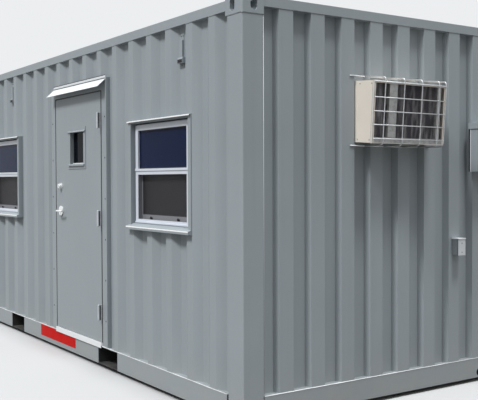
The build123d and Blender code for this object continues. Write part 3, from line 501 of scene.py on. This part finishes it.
edge_shadow_strip, edge_shadow_thickness, edge_shadow_depth = bmesh.new(), 1.2, (9, 45)
add_block(edge_shadow_strip, at, (leaf_near - edge_shadow_thickness, leaf_near), edge_shadow_depth,
          (leaf_low + 2, leaf_high - 2))
make_piece("door_edge_painted_shadow", edge_shadow_strip, "insect_mesh", black_rubber_and_shade, body="door")

# A bright apron in front of the threshold
apron, apron_depth, apron_heights = bmesh.new(), (-6, -4), (160, 203)
add_block(apron, at, (frame_near, frame_far - strip), apron_depth, apron_heights)
make_piece("door_threshold_apron", apron, "mill_aluminium", bright_trim_and_highlight, bevel=0.7 * MM)

# Pale lines down the posts, and on top of the rails and sills: painted highlights along their edges
post_edge_side, post_edge_span = 159, (126, 2466)
post_highlights, rail_highlights = bmesh.new(), bmesh.new()
for place in corner_places:
    add_tube(post_highlights, [place(post_inset, post_edge_side, z) for z in post_edge_span], 1.3 * MM)
rail_inset, rail_z, rail_start, sill_start = 4.5, 172.5, 180, 164
for v in (rail_inset, width - rail_inset):
    add_tube(rail_highlights, [at(u, v, rail_z) for u in (rail_start, length - rail_start)], 3 * MM)
for u in (rail_inset, length - rail_inset):
    add_tube(rail_highlights, [at(u, v, rail_z) for v in (sill_start, width - sill_start)], 3 * MM)
make_piece("post_painted_highlights", post_highlights, "grey_paint", pale_cover_and_highlight, smooth=True)
make_piece("rail_painted_highlights", rail_highlights, "grey_paint", rail_highlight_paint, smooth=True)

# Drip cap: a bead of sealant over it, a dark line at the foot of its upstand as a painted shadow under the
# cap, rivets along the upstand, and screws down both jambs
cap_near, cap_far, bead_v, bead_z = 1890, 2939, 5, 2301
foot_depth, foot_heights = (3, 4), (2274, 2280)
first_rivet, rivet_pitch, rivet_count, rivet_v, rivet_z = 1903, 60, 18, 4, 2290
jamb_screw_places, jamb_screw_heights = (1905, 2975), (380, 700, 1020, 1340, 1660, 1980)
cap_bead_and_shadow, rivets, jamb_screws = bmesh.new(), bmesh.new(), bmesh.new()
add_tube(cap_bead_and_shadow, [at(u, bead_v, bead_z) for u in (cap_near, cap_far)], 3.5 * MM)
add_block(cap_bead_and_shadow, at, (cap_near, cap_far), foot_depth, foot_heights)
make_piece("door_cap_bead_and_shadow", cap_bead_and_shadow, "insect_mesh", dark_steel_and_shade)
for k in range(rivet_count):
    add_head(rivets, at(first_rivet + k * rivet_pitch, rivet_v, rivet_z), DOORWARD, 6 * MM, 3 * MM)
for z in jamb_screw_heights:
    for u in jamb_screw_places:
        add_head(jamb_screws, at(u, leaf_front, z), DOORWARD, 7 * MM, 2 * MM)
make_piece("door_cap_rivets", rivets, "mill_aluminium", bright_trim_and_highlight, smooth=True)
make_piece("door_jamb_screws", jamb_screws, "hinge_steel", dark_steel_and_shade, smooth=True)

# Hinges: a domed tip at each end of the pin, and a black strip beside the barrel as a painted shadow
pin_u, pin_v, hinge_tops, hinge_height = 1976.5, -24, (2014, 1244, 502), 120
hinge_shadow_span, hinge_shadow_depth = (1973.2, 1974), (-15.5, -7)
tips, hinge_shadows = bmesh.new(), bmesh.new()
for top in hinge_tops:
    low = top - hinge_height
    add_head(tips, at(pin_u, pin_v, top - 0.3), UP, 7 * MM, 5 * MM)
    add_head(tips, at(pin_u, pin_v, low), DOWN, 7 * MM, 5 * MM)
    add_block(hinge_shadows, at, hinge_shadow_span, hinge_shadow_depth, (low + 1, top - 1))
make_piece("door_hinge_painted_shadows", hinge_shadows, "insect_mesh", black_rubber_and_shade)
make_piece("door_hinge_tips", tips, "hinge_steel", smooth=True)

# Door leaf: a sweep along its foot, a bead under the glass outside and one round it inside, latch plates
# on the leaf's edge, and the dark details: a ring round the glass and the keyway
glass_span, glass_low, glass_high, bead_bar = (2309, 2580), 1622, 1884, 7
outer_bead_depth, dark_ring_depth, inner_bead_depth = (26, 36), (34, 36), (42, 48)
lock_u, lever_z, bolt_z = 2790, 1222, 1436
plate_face, latch_face, key_face = leaf_far + 1.5, leaf_far + 4, leaf_front - 27.5
plate_depth, latch_depth = (leaf_front + 10, leaf_back - 8), (leaf_front + 17, leaf_front + 29)
plate_half, latch_half, key_half = 55, 12, 9
sweep_inset, sweep_span = 14, (leaf_low + 2, leaf_low + 40)
sweep, bead, lock_plates, dark_details = (bmesh.new() for _ in range(4))
add_block(sweep, at, (leaf_near + sweep_inset, leaf_far - sweep_inset), (leaf_back, leaf_back + 2),
          sweep_span)
add_block(bead, at, glass_span, outer_bead_depth, (glass_low, glass_low + bead_bar))
add_ring(dark_details, at, glass_span, dark_ring_depth, (glass_low + bead_bar, glass_high), bar=3)
add_ring(bead, at, glass_span, inner_bead_depth, (glass_low, glass_high), bar=bead_bar)
for z in (lever_z, bolt_z):
    add_block(lock_plates, at, (leaf_far, plate_face), plate_depth, (z - plate_half, z + plate_half))
    add_block(lock_plates, at, (plate_face, latch_face), latch_depth, (z - latch_half, z + latch_half))
add_block(dark_details, at, (lock_u - 2, lock_u + 2), (key_face - 1, key_face),
          (bolt_z - key_half, bolt_z + key_half))
add_head(dark_details, at(lock_u, key_face, bolt_z + 5), DOORWARD, 4 * MM, 1 * MM)
make_piece("door_sweep", sweep, "insect_mesh", black_rubber_and_shade, body="door", bevel=1 * MM)
make_piece("door_glass_beads", bead, "grey_paint", bright_trim_and_highlight, body="door", bevel=1.5 * MM)
make_piece("door_latch_plates", lock_plates, "satin_steel", body="door", bevel=0.5 * MM)
make_piece("door_keyway", dark_details, "insect_mesh", black_rubber_and_shade, body="door")

# Thumb turn inside: a round foot and a flat wing
foot_face, wing_depth, wing_half, wing_half_height = leaf_back + 28, (leaf_back + 30, leaf_back + 46), 4, 16
thumb_turn = bmesh.new()
add_head(thumb_turn, at(lock_u, foot_face, bolt_z), BACKWARD, 13 * MM, 4 * MM)
add_block(thumb_turn, at, (lock_u - wing_half, lock_u + wing_half), wing_depth,
          (bolt_z - wing_half_height, bolt_z + wing_half_height))
make_piece("door_thumb_turn", thumb_turn, "satin_steel", body="door", bevel=1.5 * MM)

# Lever handles on both faces: a neck and a grip that curves back towards the leaf at its tip
lever_reach, grip_radius, neck_bend, neck_end = 58, 7.5, 14, 30
grip_places = ((70, 1), (96, 4), (110, 9))


def add_lever(bm, face, outward):
    """One lever, from its neck at the face out to the tip."""
    foot, depth = 0.5, lever_reach - grip_radius
    neck = [at(lock_u, face + outward * foot, lever_z), at(lock_u, face + outward * depth, lever_z),
            at(lock_u - neck_end, face + outward * depth, lever_z)]
    grip = [at(lock_u - along, face + outward * (depth - back), lever_z) for along, back in grip_places]
    add_tube(bm, rounded_path(neck, neck_bend * MM) + grip, grip_radius * MM, sides=16)
    add_head(bm, neck[0], outward * BACKWARD, 10.5 * MM, 12 * MM, sides=16)


levers = bmesh.new()
add_lever(levers, leaf_front, -1)
add_lever(levers, leaf_back, 1)
lever = make_piece("lever_handles", levers, "satin_steel", body="lever", smooth=True)
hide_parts("door_lever")

# Air conditioner: a flange and a bezel at its front, a black line behind them as a painted shadow, case
# screws, its pan's front and a near-white strip on top as a painted highlight. Depths are in front of the
# wall, before the case leans.
cooler_near, cooler_far, cooler_low, cooler_high = 896, 1548, 1726, 2122
cooler_shadow_back, flange_back, flange_front, pan_inset, pan_rise = 144.5, 147, 161.5, 14, 33
case_screw_depths, case_screw_heights = (135, 25), (1745, 2103)


def add_case_ring(bm, beyond, depths, bar):
    """A ring whose outer edge stands beyond the case on all four sides."""
    add_ring(bm, cooler_at, (cooler_near - beyond, cooler_far + beyond), depths,
             (cooler_low - beyond, cooler_high + beyond), bar)


flange, cooler_shadow, bezel, case_screws, pan_front, top_highlight = (bmesh.new() for _ in range(6))
add_case_ring(flange, 1.5, (flange_back, flange_front), 3)
add_case_ring(cooler_shadow, 0.4, (cooler_shadow_back, flange_back), 2)
add_case_ring(bezel, -3, (138, 161), 1.5)
for side, outward in ((cooler_near, -1), (cooler_far, 1)):
    for out in case_screw_depths:
        for z in case_screw_heights:
            add_head(case_screws, cooler_at(side, out, z), outward * BACKWARD, 5 * MM, 2 * MM)
pan_span, pan_top = (cooler_near + pan_inset, cooler_far - pan_inset), cooler_low + pan_rise
add_block(pan_front, cooler_at, pan_span, (158, 161.2), (cooler_low + 3, pan_top))
add_block(pan_front, cooler_at, pan_span, (156.5, 162.2), (pan_top - 3, pan_top))
add_block(top_highlight, cooler_at, (cooler_near, cooler_far), (flange_front, flange_front + 2),
          (cooler_high - 8, cooler_high + 2))
make_piece("cooler_bezel", bezel, "cooler_beige", zinc_trim)
make_piece("cooler_top_highlight", top_highlight, "cooler_beige", near_white_highlight, bevel=0.8 * MM)
make_piece("cooler_pan_front", pan_front, "zinc_sheet", bevel=0.8 * MM)

# Its coil: a dark core, thin fins in front of it and tubes across them
coil_back, core_front, tube_depth, fin_front = 75, 122, 128, 135
coil_span, fin_pitch, fin_count = (1763, 2119), 4, 160
first_tube, tube_pitch, tube_count = 22, 39, 9
fins, tubes = bmesh.new(), bmesh.new()
add_block(fins, cooler_at, (cooler_near + 3, cooler_far - 3), (coil_back, core_front), coil_span)
for k in range(fin_count):
    side = cooler_near + 6 + k * fin_pitch
    add_block(fins, cooler_at, (side, side + 1), (core_front, fin_front), coil_span)
for k in range(tube_count):
    z = coil_span[0] + first_tube + k * tube_pitch
    ends = (cooler_near + 4, cooler_far - 4)
    add_tube(tubes, [cooler_at(side, tube_depth, z) for side in ends], 4.5 * MM, sides=8)
make_piece("cooler_front_flange", flange, "cooler_beige", zinc_trim, bevel=1 * MM)
make_piece("cooler_painted_shadow_line", cooler_shadow, "cooler_beige", black_rubber_and_shade)
make_piece("cooler_case_screws", case_screws, "zinc_sheet", smooth=True)
coil = make_piece("cooler_fin_pack", fins, "coil_fins")
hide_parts("cooler_coil")
make_piece("cooler_tubes", tubes, "zinc_sheet", smooth=True)

# Guard cage of round rods, bent over and back under the unit, with a weld blob at each crossing.
# Its front leans: its foot is nearer the wall than its top.
guard_side, guard_width, guard_overhang, guard_reach = 885, 643, 40, 195
rod, guard_bend, guard_lean, wall_out = 3.9 * MM, 22, 31, -2
guard_bottom, guard_front_top, guard_wall_top = 1703, 2134, 2155
guard_slope = guard_lean / (guard_front_top - guard_bottom)
guard_out = guard_reach + guard_slope * guard_bend
uprights = [guard_side + offset for offset in (87, 256, 418, 578, guard_width)]
guard_rows = (1742, 1830, 1916, 2004, 2102)
guard, blobs = bmesh.new(), bmesh.new()
for side in uprights:
    corners = [end_at(side, wall_out, guard_wall_top), end_at(side, guard_out, guard_front_top),
               end_at(side, guard_out - guard_lean, guard_bottom), end_at(side, wall_out, guard_bottom)]
    add_tube(guard, rounded_path(corners, guard_bend * MM), rod, sides=10)
for z in guard_rows:
    out = guard_out - guard_slope * (guard_front_top - z)
    add_tube(guard, [end_at(side, out, z) for side in (guard_side, guard_side + guard_width)], rod, sides=10)
    for side in uprights:
        add_head(blobs, end_at(side, out - 1, z), ENDWARD, 6 * MM, 5 * MM, sides=8)
for z in (guard_bottom, guard_wall_top):
    ends = (guard_side - guard_overhang, guard_side + guard_width + guard_overhang)
    add_tube(guard, [end_at(side, wall_out, z) for side in ends], rod, sides=10)
cage = make_piece("guard_rods", guard, "zinc_rod", smooth=True)
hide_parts("cooler_guard")
make_piece("guard_welds", blobs, "zinc_rod", smooth=True)

# Junction box: a front cover beyond a dark joint, paler than the box as painted light on its front, a lid
# that hangs over in near white as a painted highlight, and two screws
joint_back, joint_front, cover_front, lid_low, lid_high = 44, 49, 57.5, 1058, 1064.5
joint_span, cover_span, lid_span, lid_depth = (1808.9, 1880.1), (1809.5, 1879.5), (1806, 1883), (-5, 61)
junction_screw_side, junction_screw_heights = 1845, (1030, 965)
cover, joint, lid, box_screws = (bmesh.new() for _ in range(4))
add_block(joint, end_at, joint_span, (joint_back, joint_front), (943, lid_low))
add_block(cover, end_at, cover_span, (joint_front, cover_front), (943.5, lid_low))
add_block(lid, end_at, lid_span, lid_depth, (lid_low, lid_high))
for z in junction_screw_heights:
    add_head(box_screws, end_at(junction_screw_side, cover_front, z), ENDWARD, 4 * MM, 1.5 * MM)
make_piece("junction_joint", joint, "insect_mesh", black_rubber_and_shade)
make_piece("junction_cover_painted_light", cover, "box_grey", pale_cover_and_highlight, bevel=3 * MM)
make_piece("junction_lid_painted_highlight", lid, "box_grey", bright_trim_and_highlight, bevel=2 * MM)

# Panel box: a dark strip at the wall as a painted shadow where the box stands off it, a rim in near white as
# a painted highlight along its edge, a door plate beyond a dark joint, two latches
rim_span, rim_low, rim_high, rim_back, rim_front = (1984, 2268), 1536, 1843, 9, 13
wall_shadow_span, wall_shadow_back = (1985.5, 2266.5), -6
panel_front, plate_back, plate_front = 114, 115, 117.5
plate_joint_span, plate_joint_heights = (1990, 2262), (1546, 1836)
plate_span, plate_heights = (1993, 2259), (1549, 1833)
latch_side, latch_front, latch_heights, latch_half_width, latch_half_height = 2012, 123, (1610, 1770), 8, 16
panel_door, panel_joint_and_wall_shadow, panel_latches, panel_rim_highlight = (bmesh.new() for _ in range(4))
add_block(panel_joint_and_wall_shadow, end_at, wall_shadow_span, (wall_shadow_back, rim_back), (rim_low + 1.5, rim_high))
add_block(panel_rim_highlight, end_at, rim_span, (rim_back, rim_front), (rim_low, rim_high))
make_piece("panel_rim_highlight", panel_rim_highlight, "box_grey", bright_trim_and_highlight, bevel=0.5 * MM)
add_block(panel_joint_and_wall_shadow, end_at, plate_joint_span, (panel_front, plate_back), plate_joint_heights)
add_block(panel_door, end_at, plate_span, (plate_back, plate_front), plate_heights)
for z in latch_heights:
    add_block(panel_latches, end_at, (latch_side - latch_half_width, latch_side + latch_half_width),
              (plate_front, latch_front), (z - latch_half_height, z + latch_half_height))
    add_head(box_screws, end_at(latch_side, latch_front, z + 9), ENDWARD, 3 * MM, 1 * MM)
make_piece("panel_joint_and_wall_shadow", panel_joint_and_wall_shadow, "insect_mesh", black_rubber_and_shade)
make_piece("panel_door", panel_door, "grey_paint", bevel=1 * MM)
make_piece("panel_latches", panel_latches, "satin_steel", bevel=1.5 * MM)
make_piece("box_screws", box_screws, "hinge_steel", dark_steel_and_shade, smooth=True)

# Ventilators, two on the door side and two on the back: a dark grille over each mouth, three screws
vent_middles, mouth_half, mouth_depth, mouth_heights = (758, 4094), 29, (17, 18), (2262, 2284)
tab_screws, tab_face = ((-11, 2440), (11, 2440), (0, 2244)), 38
grilles, vent_screws = bmesh.new(), bmesh.new()
for middle in vent_middles:
    for from_back, outward in ((False, DOORWARD), (True, BACKWARD)):
        vent_at = corner_at(False, from_back)
        add_block(grilles, vent_at, (middle - mouth_half, middle + mouth_half), mouth_depth, mouth_heights)
        for offset, z in tab_screws:
            add_head(vent_screws, vent_at(middle + offset, tab_face, z), outward, 5 * MM, 2.5 * MM)
make_piece("ventilator_grilles", grilles, "insect_mesh")
make_piece("ventilator_screws", vent_screws, "hinge_steel", dark_steel_and_shade, smooth=True)


# Floor and sky. Both are pale for the eye, for reflections and through glass, but the light that they
# scatter on the object is that of dull ground and an overcast sky, brightest overhead.
def eye_ray(tree):
    """One for a ray of the camera, a reflection or glass, and nothing for a ray of scattered light."""
    ray = add_node(tree, "ShaderNodeLightPath")
    either = ray.outputs["Is Camera Ray"]
    for name in ("Is Glossy Ray", "Is Transmission Ray"):
        pair = {0: either, 1: ray.outputs[name]}
        either = add_node(tree, "ShaderNodeMath", pair, operation="MAXIMUM").outputs[0]
    return either


floor_reach = 60
floor_corners = [(x * floor_reach, y * floor_reach, 0) for x, y in ((-1, -1), (1, -1), (1, 1), (-1, 1))]
floor_mesh = bpy.data.meshes.new("studio_floor")
floor_mesh.from_pydata(floor_corners, [], [(0, 1, 2, 3)])
ground = Graph("studio_floor")
ground_seen = ground.mix(ground.noise(0.4, detail=2.0), rgb(161, 162, 163), rgb(166, 167, 168))
ground_colour = ground.mix(eye_ray(ground.tree), rgb(84, 83, 80), ground_seen)
floor_mesh.materials.append(ground.finish(Base_Color=ground_colour, Roughness=0.9))
floor = bpy.data.objects.new("studio_floor", floor_mesh)
bpy.context.scene.collection.objects.link(floor)

world = bpy.data.worlds.new("studio")
bpy.context.scene.world = world
world.use_nodes = True
sky = world.node_tree
sky.nodes.clear()
heading = add_node(sky, "ShaderNodeTexCoord").outputs["Generated"]
steepness = add_node(sky, "ShaderNodeSeparateXYZ", {0: heading}).outputs[2]
level_to_overhead = {"Value": steepness, "To Min": 0.02, "To Max": 1.25}
brightness = add_node(sky, "ShaderNodeMapRange", level_to_overhead).outputs[0]
sky_light = add_node(sky, "ShaderNodeBackground", {"Color": (0.98, 0.99, 1.0, 1), "Strength": brightness})
sky_seen = add_node(sky, "ShaderNodeBackground", {"Color": rgb(236, 238, 240)})
sky_choice = {0: eye_ray(sky), 1: sky_light.outputs[0], 2: sky_seen.outputs[0]}
sky_shader = add_node(sky, "ShaderNodeMixShader", sky_choice).outputs[0]
add_node(sky, "ShaderNodeOutputWorld", {0: sky_shader})


def sun(name, towards, strength, softness):
    """A distant lamp that shines along a direction, with its apparent size in degrees."""
    lamp = bpy.data.lights.new(name, "SUN")
    lamp.energy = strength
    lamp.angle = math.radians(softness)
    holder = bpy.data.objects.new(name, lamp)
    holder.rotation_mode = "QUATERNION"
    holder.rotation_quaternion = Vector(towards).to_track_quat("-Z", "Y")
    bpy.context.scene.collection.objects.link(holder)


# The door side and the near end are lit from high up, as the photo's shadows show, and a weak wide lamp
# lights the back and the far end, which the photo doesn't show
sun("side_light", (-0.08, 0.58, -0.81), 3.05, softness=12)
sun("end_light", (-0.3, 0, -0.954), 2.4, softness=10)
sun("back_light", (0.55, -0.75, -0.36), 1.1, softness=40)

# Camera at the photograph's place: angles in degrees, focal length in pixels of the 478 wide picture
picture_width, focal_pixels, sensor = 478, 837.17, 36.0
camera_place = Vector((7.0101, -3.9694, 1.4833))
yaw, pitch, roll = math.radians(55.94), math.radians(1.3745), math.radians(-0.1955)
forward = Vector((-math.sin(yaw) * math.cos(pitch), math.cos(yaw) * math.cos(pitch), -math.sin(pitch)))
horizontal = Vector((math.cos(yaw), math.sin(yaw), 0))
upright = horizontal.cross(forward)
right = horizontal * math.cos(roll) + upright * math.sin(roll)
up = upright * math.cos(roll) - horizontal * math.sin(roll)
camera = bpy.data.objects.new("camera", bpy.data.cameras.new("camera"))
camera.data.sensor_width = sensor
camera.data.lens = focal_pixels * sensor / picture_width
camera_turn = Matrix((right, up, -forward)).transposed().to_4x4()
camera.matrix_world = Matrix.Translation(camera_place) @ camera_turn
bpy.context.scene.collection.objects.link(camera)
bpy.context.scene.camera = camera
bpy.context.scene.view_settings.view_transform = "Standard"
